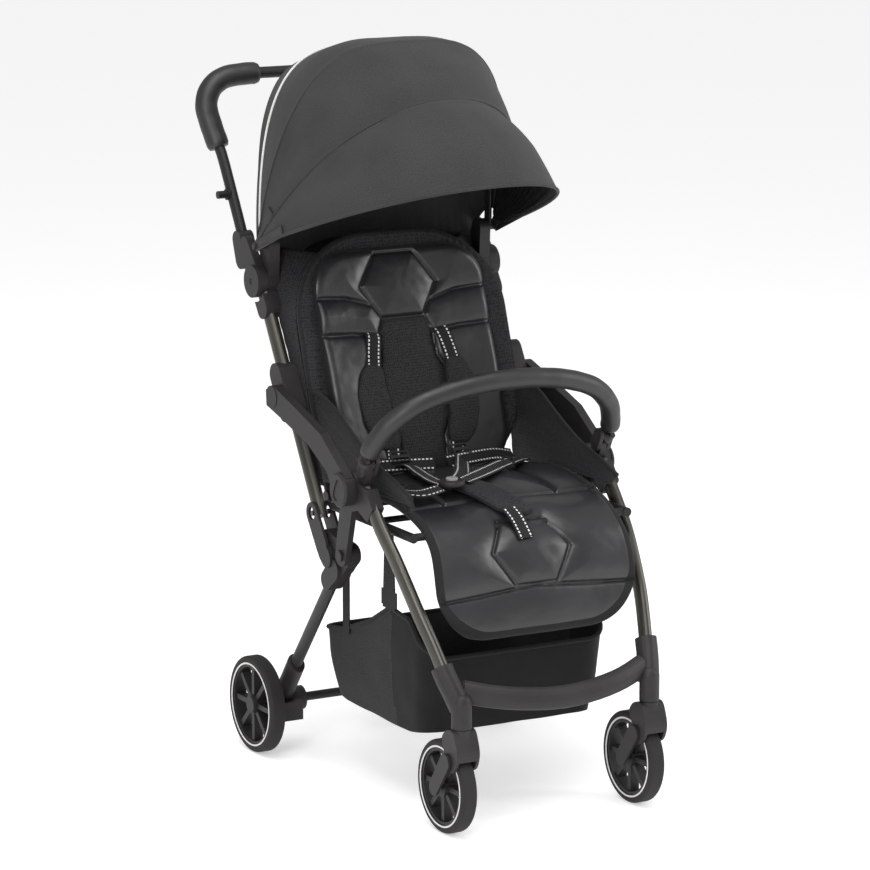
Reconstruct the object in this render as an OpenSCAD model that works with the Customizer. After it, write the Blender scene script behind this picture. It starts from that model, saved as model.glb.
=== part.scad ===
// Compact folding baby stroller: a frame of oval tubes with fold pivots, four wheels,
// two front casters, a folding canopy, a reclining seat, a bumper bar and a basket.
// Millimetres. +Z is up, X is the width, and the stroller's front faces -Y.
// A side number of 1 is the child's left (+X), and -1 is the child's right.

/* [What to show] */
// Sub-part to draw

/* [Wheels] */
// Front wheel diameter
front_wheel_d = 140; // [130:1:144]
// Rear wheel diameter
rear_wheel_d = 152; // [140:1:154]
// Tyre width
tyre_w = 25; // [22:1:26]
// Distance from the stroller's middle to a front wheel
front_track = 160; // [156:1:162]
// Distance from the stroller's middle to a rear wheel
rear_track = 210; // [208:1:212]
// Trail of the front casters, from swivel axis to wheel axle
caster_trail = 42; // [38:1:44]
// Number of spokes in a wheel
spokes = 8; // [5:1:10]

/* [Frame] */
// Distance from the stroller's middle to the side tubes
tube_x = 195; // [194:1:196]
// Oval side tube, thickness across the stroller
tube_t = 20; // [16:1:20]
// Oval side tube, width along the stroller
tube_w = 26; // [22:1:28]
// Round fold pivot radius at the side hub
hub_r = 27; // [24:1:29]
// Fold joint radius at the handle
knee_r = 25; // [22:1:26]

/* [Handle and bumper] */
// Diameter of the padded handle grip
grip_d = 35; // [30:1:36]
// Diameter of the padded bumper bar
bumper_d = 30; // [26:1:32]

/* [Seat] */
// Width of the seat pad
seat_w = 330; // [310:2:334]
// Width of the backrest pad
back_w = 300; // [280:2:316]

/* [Canopy] */
// Thickness of a canopy panel
canopy_t = 3; // [2:0.5:3]
// Half the width of the innermost canopy panel
canopy_half_w = 203; // [200:1:204]

/* [Hidden] */
$fn = 48;
// The parts are drawn about the rear of the side hub, and this puts the middle at y = 0.
to_middle = 15;
front_r = front_wheel_d / 2;
rear_r = rear_wheel_d / 2;
// Pivot centres in the side view, as [y, z]
side_hub = [-125, 480];
link_top = [98, 582];
leg_pivot = [-95, 372];
open_pivot = [1, 418];
knee = [193, 744];
rear_axle = [190, rear_r];
caster_y = -371;
front_axle = [caster_y + caster_trail, front_r];
arm_pivot = [-362, 116];
canopy_hub = [181, 800];
recline_pivot = [61, 426];
rest_pivot = [-262, 430];
bumper_pivot = [-160, 514];
// Running clearance between a pin and its hole
run = 0.05;
pin_r = 5;
// Room round the front wheel inside its fork, for the suspension to close up into
suspension_room = 9;

metal = "#4b4a47";
plastic = "#46434a";
dark = "#252427";
leather = "#2c2b2d";
cloth = "#3c3c3d";
mesh = "#1d1d1f";

// ---- helpers ----

function unit(v) = v / norm(v);
// A point on the smooth curve through p, between points i and i + 1
function curve_at(p, i, t) =
    let (a = p[max(i - 1, 0)], b = p[i], c = p[i + 1], d = p[min(i + 2, len(p) - 1)])
    0.5 * (2 * b + (c - a) * t + (2 * a - 5 * b + 4 * c - d) * t * t
        + (3 * b - a - 3 * c + d) * t * t * t);
function curve(p, n) =
    [for (i = [0:len(p) - 2], k = [0:n - 1]) curve_at(p, i, k / n), p[len(p) - 1]];
// The same path on both sides of the middle, as one path from -X to +X
function both_ways(p) = let (n = len(p))
    concat([for (i = [0:n - 1]) [-p[i][0], p[i][1], p[i][2]]],
        [for (i = [n - 2:-1:0]) p[i]]);

// An oval bar along a path: half size a along ref, and half size b across it.
module sweep(path, a, b, ref, sides = 20) {
    n = len(path);
    rings = [for (i = [0:n - 1])
        let (t = unit(path[min(i + 1, n - 1)] - path[max(i - 1, 0)]),
            across = unit(cross(ref, t)), along = cross(t, across))
        [for (k = [0:sides - 1])
            path[i] + a * cos(360 * k / sides) * along + b * sin(360 * k / sides) * across]];
    caps = [[for (k = [sides - 1:-1:0]) k], [for (k = [0:sides - 1]) (n - 1) * sides + k]];
    walls = [for (i = [0:n - 2], k = [0:sides - 1]) let (m = (k + 1) % sides)
        [i * sides + k, i * sides + m, (i + 1) * sides + m, (i + 1) * sides + k]];
    polyhedron([for (r = rings, q = r) q], concat(caps, walls), convexity = 8);
}

module side(s) {
    if (s < 0) mirror([1, 0, 0]) children();
    else children();
}
module at(p) translate([0, p[0], p[1]]) children();
// A disc about X, from x0 to x1
module disc(r, x0, x1) translate([x0, 0, 0]) rotate([0, 90, 0]) cylinder(r = r, h = x1 - x0);
// A flat shape in the side view, [y, z], given a thickness from x0 to x1
module plate(x0, x1) translate([x0, 0, 0]) rotate([90, 0, 90]) linear_extrude(x1 - x0) children();
// A bar with round ends in the side view
module bar(p, q, r0, r1) {
    n = unit([p[1] - q[1], q[0] - p[0]]);
    translate(p) circle(r0);
    translate(q) circle(r1);
    polygon([p + n * r0, q + n * r1, q - n * r1, p - n * r0]);
}
// A closed outline in the side view, rounded by a smooth curve through its points
function ring_curve(p, n) = let (m = len(p))
    [for (i = [0:m - 1], k = [0:n - 1])
        let (a = p[(i + m - 1) % m], b = p[i], c = p[(i + 1) % m], d = p[(i + 2) % m], t = k / n)
        0.5 * (2 * b + (c - a) * t + (2 * a - 5 * b + 4 * c - d) * t * t
            + (3 * b - a - 3 * c + d) * t * t * t)];

// ---- chassis ----

leg_path = curve([[203, -160, 484], [202, -205, 433], [198, -241, 395], [193, -271, 356],
    [187, -299, 316], [180, -320, 283], [174, -336, 254], [170, -346, 236]], 3);

module leg_tube(grow) sweep(leg_path, 9 + grow, 13 + grow, [1, 0, 0]);
module front_leg(s) color(metal) side(s) leg_tube(0);

sleeve_top = 204;
sleeve_bottom = 167;

module footrest() color(plastic) {
    bar_path = curve(both_ways([[-152, -360, 218], [-110, -377, 209], [-60, -388, 202],
        [0, -392, 198]]), 3);
    node_path = curve([[174, -337, 252], [171, -346, 236], [166, -357, 218], [160, -368, 196]], 3);
    difference() {
        union() {
            sweep(bar_path, 17, 11, [0, 0.25, 1]);
            for (s = [-1, 1]) side(s) {
                sweep(node_path, 16, 18, [1, 0, 0]);
                translate([front_track, caster_y, sleeve_bottom])
                    cylinder(r = 15, h = sleeve_top - sleeve_bottom);
                translate([front_track, caster_y, sleeve_top]) sphere(15);
            }
        }
        for (s = [-1, 1]) side(s) {
            leg_tube(0.2);
            translate([front_track, caster_y, sleeve_bottom - 1]) cylinder(r = pin_r + run, h = 36);
        }
    }
}

// Root half of the side hub, with the front leg's socket and the short arm down to the rear leg
module hub_housing(s) color(plastic) side(s) difference() {
    union() {
        at(side_hub) disc(hub_r, 192, 212);
        plate(192, 212) polygon([[-150, 494], [-136, 505], [-110, 503], [-100, 470],
            [-112, 440], [-150, 452], [-180, 440], [-196, 462], [-176, 488]]);
        plate(203, 212) bar([-116, 460], leg_pivot, 19, 16);
        // Lug and pin for the bumper bar
        plate(196, 206) bar([-146, 488], bumper_pivot, 14, 10);
        at(bumper_pivot) disc(pin_r, 190, 212);
    }
    leg_tube(0.2);
    at(side_hub) disc(pin_r + run, 190, 214);
    at(leg_pivot) disc(pin_r + run, 200, 214);
}

// Outer cap of the side hub, with its pivot pin and an oval recess in its face
module hub_cap(s) color(plastic) side(s) at(side_hub) difference() {
    union() {
        disc(hub_r - 1, 227.5, 230);
        translate([230, 0, 0]) rotate([0, 90, 0]) cylinder(r1 = hub_r - 1, r2 = hub_r - 4, h = 3);
        disc(pin_r, 192, 228);
    }
    plate(231.6, 240) bar([-4, 8], [4, -8], 9, 9);
}

seat_rail_z = 430;
rail_r = 6;
module cross_tube(y, r) translate([-182, y, seat_rail_z]) rotate([0, 90, 0]) cylinder(r = r, h = 364);
module seat_frame() color(metal) {
    // Two side rails from the hubs, and three cross tubes; the front one carries the leg rest
    for (s = [-1, 1]) side(s) {
        translate([182, rest_pivot[0] - rail_r - 1, seat_rail_z]) rotate([-90, 0, 0])
            cylinder(r = rail_r + 1, h = 251);
        translate([182, -140, seat_rail_z]) cube([9.8, 40, 30]);
    }
    for (y = [rest_pivot[0], -28]) cross_tube(y, rail_r);
    cross_tube(-140, 5);
}

// ---- soft seat ----

// A pillow-edged slab in the side view, extruded across the stroller
module cushion(outline, half_w) plate(-half_w, half_w) polygon(ring_curve(outline, 4));

module seat_pad() color(leather) cushion([[-238, 441], [-222, 438], [-175, 447], [-120, 450],
    [-4, 444], [12, 448], [14, 456], [6, 462], [-60, 470], [-120, 474], [-175, 470],
    [-218, 460], [-240, 450]], seat_w / 2);

rest_r = 13;
module leg_rest() color(leather) difference() {
    union() {
        cushion([[-252, 422], [-256, 441], [-276, 438], [-293, 416], [-309, 382], [-317, 345],
            [-320, 300], [-317, 281], [-308, 276], [-300, 290], [-300, 330], [-294, 362],
            [-278, 396]], 164);
        at(rest_pivot) disc(rest_r, -164, 164);
    }
    at(rest_pivot) disc(rail_r + run, -190, 190);
}

module seat_side(s) color(mesh) side(s) plate(168, 171)
    polygon(ring_curve([[-250, 492], [-120, 486], [-30, 470], [-18, 500], [2, 560], [-2, 590],
        [-40, 580], [-120, 530], [-190, 510], [-240, 505]], 4));

module harness_crotch() color(cloth) {
    translate([-22, -152, 477]) cube([44, 60, 8]);
    translate([0, -150, 485]) cylinder(r = 23, h = 10);
    translate([0, -150, 495]) cylinder(r = 9, h = 3);
}

// ---- basket ----

basket_half_w = 156;
// Side view of the basket from its rear top corner round to its front top corner
basket_outline = [[78, 214], [60, 122], [-20, 106], [-110, 106], [-200, 112], [-252, 132],
    [-262, 236], [-150, 262]];
module basket() color(mesh) difference() {
    plate(-basket_half_w, basket_half_w) polygon(concat(
        [[82, 216]], curve([for (i = [1:5]) basket_outline[i]], 4), [[-266, 238], [-205, 292],
        [-146, 300], [-80, 262], [0, 230]]));
    plate(4 - basket_half_w, basket_half_w - 4) polygon(concat(
        [[79, 340]], curve([[56, 126], [-20, 110], [-110, 110], [-200, 116], [-248, 135]], 4),
        [[-262, 340]]));
    // The front and the rear walls are lower than the sides
    translate([8 - basket_half_w, -300, 236]) cube([2 * basket_half_w - 16, 400, 100]);
}

module basket_straps() color(cloth) for (s = [-1, 1]) side(s) {
    translate([157, -171, 300]) cube([2, 46, 24]);
    plate(157, 159) polygon([[-167, 296], [-129, 296], [-136, 424.8], [-160, 424.8]]);
    translate([157, -21, 228]) cube([2, 20, 200]);
}

// ---- bumper bar ----

// The bar's shape in its own tilted plane, as [x, distance from the pivot]
bumper_shape = [[-207, 31], [-203, 52], [-188, 88], [-152, 122], [-100, 142], [-45, 152], [0, 154]];
bumper_lean = 120;
function in_bumper(p) = [p[0], bumper_pivot[0] + p[1] * cos(bumper_lean),
    bumper_pivot[1] + p[1] * sin(bumper_lean)];
bumper_normal = [0, -sin(bumper_lean), cos(bumper_lean)];

module bumper_bar() color(leather)
    sweep(curve(both_ways([for (p = bumper_shape) in_bumper(p)]), 3), bumper_d / 2, bumper_d / 2,
        bumper_normal);

// A fork on each end of the bumper bar straddles the hub's lug.
module bumper_clips() color(plastic) for (s = [-1, 1]) side(s) difference() {
    union() {
        sweep([in_bumper([201, 11]), in_bumper([206, 16]), in_bumper([207.5, 21.2])], 12.5, 12.5,
            bumper_normal);
        for (x = [189.4, 206.6]) plate(x, x + 6)
            bar(bumper_pivot, [bumper_pivot[0] - 9, bumper_pivot[1] + 16], 11, 10);
    }
    plate(195.4, 206.6) translate(bumper_pivot) circle(13);
    at(bumper_pivot) disc(pin_r + run, 180, 240);
}

// ---- fold linkage ----

module armrest(s) color(plastic) side(s) difference() {
    union() {
        at(side_hub) disc(hub_r - 2, 212.6, 227);
        plate(213, 227) polygon([[-141, 500], [-60, 553], [20, 578], [92, 599], [118, 590],
            [116, 566], [60, 552], [-20, 530], [-80, 500], [-104, 468]]);
        at(link_top) disc(17, 213, 228);
        at(link_top) disc(pin_r, 196, 214);
    }
    at(side_hub) disc(pin_r + run, 212, 228);
}

upright_dir = unit(knee - open_pivot);
upright_low = open_pivot - 6 * upright_dir;
upright_high = knee - 4 * upright_dir;
module upright_tube(grow) sweep([[tube_x, upright_low[0], upright_low[1]],
    [tube_x, upright_high[0], upright_high[1]]], tube_t / 2 + grow, tube_w / 2 + grow, [1, 0, 0], 28);

module upright(s) color(metal) side(s) difference() {
    union() {
        upright_tube(0);
        at(open_pivot) disc(4, 180, 210);
    }
    // The tube's top is cut away round the fold joint's fixed half
    at(knee) disc(knee_r + 0.2, 170, 220);
    at(link_top) disc(pin_r + run, 195.5, 230);
}

module upright_bracket(s) color(plastic) side(s) difference() {
    plate(tube_x - 12.5, tube_x + 17.4)
        bar(link_top + 34 * upright_dir, link_top - 24 * upright_dir, 18, 18);
    upright_tube(0.1);
    at(link_top) disc(pin_r + run, 195.5, 230);
}

// Fixed half of the fold joint, with the canopy's clamp above it
clamp_x0 = 176;
module fold_joint(s) color(plastic) side(s) difference() {
    union() {
        at(knee) disc(knee_r, clamp_x0, tube_x - 0.6);
        at(knee) disc(pin_r, tube_x - 2, 212);
        // The canopy's pivot stands out above the joint
        plate(clamp_x0, tube_x - 0.6) bar([188, 752], canopy_hub, 18, 14);
        at(canopy_hub) disc(pin_r, tube_x - 2, visor_w + 0.6);
        plate(tube_x - 12.4, tube_x + 12.4) bar([168, 705], [178, 720], 16, 16);
        plate(clamp_x0, tube_x - 0.6) bar([188, 732], [170, 708], 16, 14);
    }
    upright_tube(0.1);
    plate(tube_x - 0.6, 230) difference() {
        translate(knee) circle(knee_r + 7);
        translate(knee) circle(pin_r);
    }
}

// ---- handle ----

handle_lean = atan2(1040 - 744, 352 - 193);
module handle_socket(s) color(plastic) side(s) difference() {
    union() {
        at(knee) disc(knee_r, tube_x, 213);
        plate(tube_x, 208) bar(knee, [226, 796], 21, 13);
        plate(184, 208) bar([240, 772], [252, 800], 16, 14);
    }
    at(knee) disc(pin_r + run, tube_x - 2, 214);
    at(knee) disc(knee_r + 0.8, 170, tube_x - 0.01);
    handle_bar(0.1);
}

// Handle path from the socket up round the back corner to the middle
handle_path = [[196, 238, 771], [196, 258, 812], [197, 291, 872], [199, 319, 925], [206, 340, 968],
    [208, 350, 998], [198, 355, 1022], [174, 357, 1038], [140, 358, 1042], [70, 358, 1042],
    [0, 358, 1042]];
module handle_bar(grow) {
    lower = curve([for (i = [0:5]) handle_path[i]], 3);
    for (s = [-1, 1]) side(s) sweep(lower, 8 + grow, 10 + grow, [1, 0, 0]);
    top = curve(both_ways([for (i = [5:10]) [-handle_path[i][0], handle_path[i][1],
        handle_path[i][2]]]), 3);
    sweep(top, 10 + grow, 9 + grow, [0, 1, -0.05]);
}

module handle_tube() color(dark) {
    // The release button sits in a pocket in the middle of the bar
    difference() {
        union() {
            handle_bar(0);
            translate([-24, 347, 1030]) cube([48, 24, 24]);
        }
        translate(button_pocket) cube([29.2, 20, 13.2]);
    }
    // Round pegs for a bag or a cup holder, the one on the right a little lower
    for (p = [[1, 296, 880], [-1, 288, 866]]) side(p[0]) at([p[1], p[2]]) {
        disc(9, 198, 207);
        disc(6, 206, 222);
    }
}

module handle_grip() color(leather) {
    grip = [[200, 326, 934], [206, 341, 968], [209, 351, 998], [198, 356, 1023], [174, 358, 1038],
        [140, 358, 1042], [118, 358, 1042]];
    for (s = [-1, 1]) side(s) difference() {
        sweep(curve(grip, 4), grip_d / 2, grip_d / 2, [0.05, 0.93, -0.35]);
        handle_bar(0.1);
    }
}

button_pocket = [-14.6, 363, 1035.4];
module fold_button() color(plastic) translate([-14, 366, 1036]) cube([28, 8, 12]);

// ---- canopy ----

// Outline of the canopy across the stroller, as [distance from the hub axis, x]
canopy_steps = 18;
function canopy_half(w, h, rise, round) = [for (i = [0:canopy_steps])
    let (t = 90 * i / canopy_steps, r = h * pow(sin(t), rise), x = w * pow(cos(t), round))
    if (i >= 2) [r, x]];
function canopy_edge(w, h, rise, round) = let (e = canopy_half(w, h, rise, round), n = len(e))
    concat(e, [for (i = [n - 2:-1:0]) [e[i][0], -e[i][1]]]);
function backwards(p) = [for (i = [len(p) - 1:-1:0]) p[i]];

// The arm that carries a panel on its pivot pin, on both sides
module canopy_arms(half_w, angle) for (s = [-1, 1]) side(s) at(canopy_hub)
    plate(half_w - canopy_t - 2, half_w - 1.8) difference() {
        bar([0, 0], 104 * [cos(angle), sin(angle)], 13, 9);
        circle(pin_r + run);
    }

// One panel of the canopy: a shell turned about the canopy's hub axis between two angles
module canopy_panel(half_w, height, from, to) union() {
    at(canopy_hub) rotate([90, 0, 90]) rotate([0, 0, from])
        rotate_extrude(angle = to - from, $fn = 96)
            polygon(concat(canopy_edge(half_w, height, 0.72, 0.5),
                backwards(canopy_edge(half_w - canopy_t, height - canopy_t, 0.72, 0.5))));
    canopy_arms(half_w, (from + to) / 2);
}

rear_from = 82;
middle_from = 107;
visor_from = 134;
visor_to = 162;
middle_h = 328;
visor_w = canopy_half_w + 11;

module canopy_rear() color(cloth) canopy_panel(canopy_half_w, 302, rear_from, middle_from + 1);
module canopy_middle() color(cloth)
    canopy_panel(canopy_half_w + 5, middle_h, middle_from, visor_from + 1);

// The visor grows forwards, so its shell is built ring by ring, outside first and then inside.
visor_rings = 8;
function visor_ring(k, inset) = let (t = k / visor_rings, angle = visor_from
    + (visor_to - visor_from) * t)
    [for (p = canopy_edge(visor_w - inset, middle_h + 8 + 84 * pow(t, 1.15) - inset,
            0.72 + 0.15 * t, 0.5 + 0.35 * t))
        [p[1], canopy_hub[0] + p[0] * cos(angle), canopy_hub[1] + p[0] * sin(angle)]];
module canopy_visor() color(cloth) union() {
    outer = [for (k = [0:visor_rings]) visor_ring(k, 0)];
    inner = [for (k = [0:visor_rings]) visor_ring(k, canopy_t)];
    m = len(outer[0]);
    rings = [for (k = [0:visor_rings]) concat(outer[k], backwards(inner[k]))];
    n = 2 * m;
    polyhedron([for (r = rings, q = r) q], concat([[for (i = [0:n - 1]) i]],
        [[for (i = [n - 1:-1:0]) visor_rings * n + i]],
        [for (k = [0:visor_rings - 1], i = [0:n - 1]) let (j = (i + 1) % n)
            [k * n + i, (k + 1) * n + i, (k + 1) * n + j, k * n + j]]), convexity = 8);
    canopy_arms(visor_w, (visor_from + visor_to) / 2);
}

// ---- backrest ----

// Low front edge of the backrest, and the distance its shapes are set back from the seat
back_y = 25;
function set_back(p) = [for (q = p) [q[0] + back_y, q[1]]];

module backrest_frame() color(metal) {
    tube = curve(both_ways([for (p = [[-148, 36, 426], [-152, 81, 540], [-154, 122, 650],
        [-148, 152, 736], [-110, 168, 786], [0, 172, 797]]) [p[0], p[1] + back_y, p[2]]]), 3);
    sweep(tube, 6, 6, [0, 0.94, -0.35], 16);
    // Round eyes at the low ends, which the backrest turns on
    for (s = [-1, 1]) side(s) at(recline_pivot) disc(9, 143, 155);
}

module backrest_pad() color(leather) cushion(set_back([[3, 447], [16, 441], [26, 452], [69, 560],
    [109, 664], [140, 756], [144, 806], [134, 822], [122, 802], [106, 744], [79, 664],
    [42, 560]]), back_w / 2);

module harness_shoulder() color(mesh) for (s = [-1, 1]) side(s) plate(44, 96)
    polygon(set_back([[54, 616], [45, 618], [28, 566], [11, 514], [4, 490], [12, 490],
        [19, 514], [37, 566]]));

// ---- rear legs ----

module connector(s) color(plastic) side(s) difference() {
    union() {
        plate(186, 202.4) polygon(ring_curve([[-84, 341], [-60, 329], [-30, 348], [-10, 380],
            [-26, 398], [-62, 392], [-104, 386], [-112, 368], [-96, 352]], 4));
        at(leg_pivot) disc(pin_r, 200, 213);
        at(leg_pivot) disc(9, 213, 216);
        // Two cheeks hold the upright's low end with play, where the linkage is opened
        for (x = [179.5, 206]) plate(x, x + 4.5) bar([-30, 374], open_pivot, 17, 17);
        plate(179.5, 210.5) bar([-44, 358], [-34, 366], 15, 15);
        plate(184, 207.5) bar([-60, 342], [-38, 322], 17, 15);
    }
    at(open_pivot) disc(10, 170, 220);
    plate(183.9, 206.1) translate(open_pivot) circle(25);
    rear_leg_tube(0.2);
}

leg_top = [195.6, -54, 338];
leg_low = [176, 150, 118];
module rear_leg_tube(grow) sweep([leg_top, leg_low], 7.5 + grow, 11.5 + grow, [1, 0, 0], 24);
module rear_leg(s) color(dark) side(s) rear_leg_tube(0);

axle_r = 4;
housing_x0 = 132;
housing_x1 = 196;
module rear_housing(s) color(plastic) side(s) difference() {
    union() {
        at(rear_axle) disc(27, 158, housing_x1);
        at(rear_axle) disc(19, housing_x0, 158);
        sweep([[171, 176, 92], [173, 152, 118], [179, 116, 154]], 13, 17, [1, 0, 0], 24);
        translate([150, 150, 52]) cube([40, 34, 30]);
    }
    rear_leg_tube(0.2);
    at(rear_axle) disc(axle_r + run, 150, 220);
    at(rear_axle) disc(7.2, 120, 149.9);
}

module rear_axle_tube() color(metal) at(rear_axle) disc(7, -149.5, 149.5);

module brake_pedal() color(dark) at(rear_axle) difference() {
    union() {
        disc(14, -40, 40);
        translate([-34, 4, 6]) rotate([28, 0, 0]) cube([68, 52, 5]);
    }
    disc(7 + run, -50, 50);
}

// ---- wheels ----

module tyre(r) rotate([0, 90, 0]) rotate_extrude($fn = 96) difference() {
    union() {
        translate([r - 5, -tyre_w / 2 + 5]) square([5, tyre_w - 10]);
        translate([r - 10, -tyre_w / 2]) square([5, tyre_w]);
        for (s = [-1, 1]) translate([r - 5, s * (tyre_w / 2 - 5)]) circle(5);
    }
    translate([r - 12, -tyre_w]) square([2, 2 * tyre_w]);
}

module rim(r) {
    difference() {
        union() {
            rotate([0, 90, 0]) rotate_extrude($fn = 96)
                translate([r - 17, -tyre_w / 2 + 2]) square([6.9, tyre_w - 4]);
            disc(15, -tyre_w / 2 + 1, tyre_w / 2 - 1);
            for (k = [0:spokes - 1]) rotate([360 * k / spokes, 0, 0])
                translate([-tyre_w / 2 + 5, -4, 12]) cube([tyre_w - 10, 8, r - 27]);
        }
        disc(axle_r + run, -20, 20);
    }
}

module front_tyre(s) color(dark) side(s) at(front_axle) translate([front_track, 0, 0]) tyre(front_r);
module front_rim(s) color(dark) side(s) at(front_axle) translate([front_track, 0, 0]) rim(front_r);
module rear_tyre(s) color(dark) side(s) at(rear_axle) translate([rear_track, 0, 0]) tyre(rear_r);
module rear_rim(s) color(dark) side(s) at(rear_axle) translate([rear_track, 0, 0]) {
    rim(rear_r);
    disc(axle_r + run + 9, tyre_w / 2 - 1, tyre_w / 2 + 0.6);
    disc(axle_r, -50, tyre_w / 2 - 1);
}

// ---- casters ----

module caster_fork(s) color(plastic) side(s) difference() {
    union() {
        plate(front_track - 19, front_track + 19) polygon(ring_curve([[-386, 152], [-378, 164],
            [-364, 165], [-352, 158], [-346, 146], [-356, 122], [-352, 104], [-366, 100],
            [-384, 108], [-392, 130]], 4));
        translate([front_track, caster_y, 150]) cylinder(r = 14.5, h = sleeve_bottom - 151);
        translate([front_track, caster_y, 150]) cylinder(r = pin_r, h = 50);
    }
    // Room for the wheel
    translate([front_track, 0, 0]) at(front_axle) disc(front_r + suspension_room, -14.5, 14.5);
    at(arm_pivot) disc(pin_r + run, front_track - 30, front_track + 30);
}

module swing_arm(s) color(plastic) side(s) {
    for (x = [front_track - 24, front_track + 19.6]) difference() {
        plate(x, x + 4.4) bar(arm_pivot, front_axle, 13, 12);
    }
    at(arm_pivot) disc(pin_r, front_track - 20, front_track - 14.6);
    at(arm_pivot) disc(pin_r, front_track + 14.6, front_track + 20);
    at(front_axle) disc(axle_r, front_track - 20, front_track + 20);
}

// ---- assembly ----

module place() translate([0, to_middle, 0]) children();

place() front_leg(1);  // front_leg_left
place() front_leg(-1);  // front_leg_right
place() footrest();
place() hub_housing(1);  // hub_housing_left
place() hub_housing(-1);  // hub_housing_right
place() hub_cap(1);  // hub_cap_left
place() hub_cap(-1);  // hub_cap_right
place() seat_frame();
place() seat_pad();
place() seat_side(1);  // seat_side_left
place() seat_side(-1);  // seat_side_right
place() harness_crotch();
place() basket();
place() basket_straps();
place() bumper_bar();
place() bumper_clips();
place() leg_rest();
place() armrest(1);  // armrest_left
place() armrest(-1);  // armrest_right
place() upright(1);  // upright_left
place() upright(-1);  // upright_right
place() upright_bracket(1);  // upright_bracket_left
place() upright_bracket(-1);  // upright_bracket_right
place() fold_joint(1);  // fold_joint_left
place() fold_joint(-1);  // fold_joint_right
place() canopy_rear();
place() canopy_middle();
place() canopy_visor();
place() backrest_frame();
place() backrest_pad();
place() harness_shoulder();
place() handle_socket(1);  // handle_socket_left
place() handle_socket(-1);  // handle_socket_right
place() handle_tube();
place() handle_grip();
place() fold_button();
place() connector(1);  // leg_connector_left
place() connector(-1);  // leg_connector_right
place() rear_leg(1);  // rear_leg_left
place() rear_leg(-1);  // rear_leg_right
place() rear_housing(1);  // rear_housing_left
place() rear_housing(-1);  // rear_housing_right
place() rear_axle_tube();
place() brake_pedal();
place() rear_tyre(1);  // rear_tyre_left
place() rear_rim(1);  // rear_rim_left
place() rear_tyre(-1);  // rear_tyre_right
place() rear_rim(-1);  // rear_rim_right
place() caster_fork(1);  // caster_fork_left
place() caster_fork(-1);  // caster_fork_right
place() swing_arm(1);  // swing_arm_left
place() swing_arm(-1);  // swing_arm_right
place() front_tyre(1);  // front_tyre_left
place() front_rim(1);  // front_rim_left
place() front_tyre(-1);  // front_tyre_right
place() front_rim(-1);  // front_rim_right
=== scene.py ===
# %% [markdown]
# # A folding baby stroller, dressed in Blender
# The frame, the pivots and the wheels come from the imported CAD model. This lesson gives them their
# finishes and sews the soft goods over them: canopy, seat cover, backrest, harness and basket.

# %% Load the frame
import math
import bpy
import numpy as np
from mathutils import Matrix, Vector, noise


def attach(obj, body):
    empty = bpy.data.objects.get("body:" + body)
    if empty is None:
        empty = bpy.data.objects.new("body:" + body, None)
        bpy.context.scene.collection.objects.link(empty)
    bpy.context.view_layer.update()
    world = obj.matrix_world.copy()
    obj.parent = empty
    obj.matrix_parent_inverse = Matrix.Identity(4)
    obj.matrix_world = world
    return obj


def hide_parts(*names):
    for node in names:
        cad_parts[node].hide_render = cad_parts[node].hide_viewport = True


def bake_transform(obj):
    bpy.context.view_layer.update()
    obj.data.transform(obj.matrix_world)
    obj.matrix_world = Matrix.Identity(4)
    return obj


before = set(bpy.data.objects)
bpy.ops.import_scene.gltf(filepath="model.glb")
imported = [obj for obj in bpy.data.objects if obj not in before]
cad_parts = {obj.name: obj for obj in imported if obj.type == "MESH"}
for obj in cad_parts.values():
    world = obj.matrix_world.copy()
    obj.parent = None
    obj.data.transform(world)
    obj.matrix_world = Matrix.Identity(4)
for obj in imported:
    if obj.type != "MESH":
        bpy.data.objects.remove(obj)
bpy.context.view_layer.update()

# %% [markdown]
# The chassis drawing is in millimetres and its origin lies 15 mm ahead of the object's middle, so
# every measured shape below is written as on the drawing and carried over by one small function.

# %% From the drawing's millimetres to Blender's metres
DRAWING_TO_MIDDLE = 15.0


def from_drawing(points):
    """Points as rows of x, y, z in drawing millimetres, given in metres about the middle."""
    points = np.asarray(points, float).reshape(-1, 3)
    return (points + np.array([0.0, DRAWING_TO_MIDDLE, 0.0])) / 1000.0


def spot(x, y, z):
    return Vector(from_drawing([x, y, z])[0])


# %% [markdown]
# The camera stands about six metres off with a long lens, as a product studio would, so that the
# near wheel is hardly larger than the far one. Setting it first keeps the framing fixed.

# %% The camera
AZIMUTH, ELEVATION = math.radians(-29.04), math.radians(11.69)
back = Vector((math.sin(AZIMUTH) * math.cos(ELEVATION), -math.cos(AZIMUTH) * math.cos(ELEVATION),
               math.sin(ELEVATION)))
bpy.ops.object.select_all(action="DESELECT")
bpy.ops.object.camera_add(location=(-3.000, -5.392, 1.797),
                          rotation=back.to_track_quat("Z", "Y").to_euler())
camera = bpy.context.object
camera.name = "studio_camera"
camera.data.lens, camera.data.sensor_width = 171.16, 36.0
bpy.context.scene.camera = camera
print("camera lens", round(camera.data.lens, 1), "mm")

# %% [markdown]
# Soft studio light: a broad softbox overhead, a key from the front left and a weaker one from the
# right, over a pale floor that runs to the horizon under an even pale sky. Dark cloth and leather
# need large light shapes, because what they show is mostly the sheen along their curves.

# %% Floor, sky and soft boxes
bpy.ops.mesh.primitive_plane_add(size=60, location=(0, 0, -0.0006))
floor = bpy.context.object
floor.name = "studio_floor"

world = bpy.context.scene.world or bpy.data.worlds.new("studio")
bpy.context.scene.world = world
world.use_nodes = True
world.node_tree.nodes["Background"].inputs["Color"].default_value = (1.0, 1.0, 1.0, 1.0)
world.node_tree.nodes["Background"].inputs["Strength"].default_value = 0.55


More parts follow.
